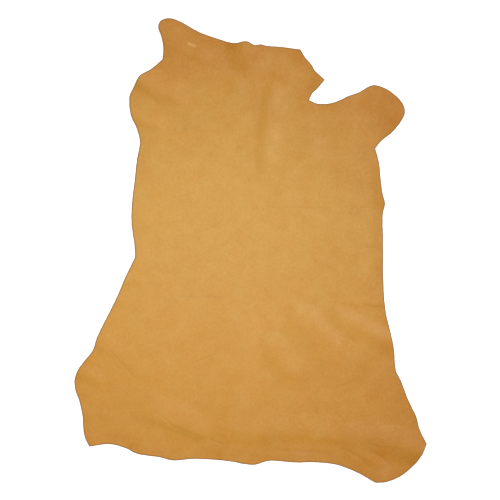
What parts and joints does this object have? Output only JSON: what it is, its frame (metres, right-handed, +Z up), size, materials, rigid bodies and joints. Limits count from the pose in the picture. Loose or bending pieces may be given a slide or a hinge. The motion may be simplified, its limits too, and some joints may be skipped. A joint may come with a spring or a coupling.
{
  "type": "leather hide",
  "caption": "Whole small tanned hide lying flat, grain side up, with neck, shanks, notched shoulder and soft folds across flank and rump.",
  "frame": {"origin": "middle of the hide's footprint, on the surface it lies on", "axes": "+X across the hide to the right in the picture, +Y along the back towards the neck, +Z up out of the grain side"},
  "size_m": [0.7921, 1.044, 0.0129],
  "materials": {
    "tan_leather": "smooth natural tan grain with a soft satin sheen"
  },
  "bodies": {
    "root": {"hide": "tan_leather"}
  },
  "joints": []
}
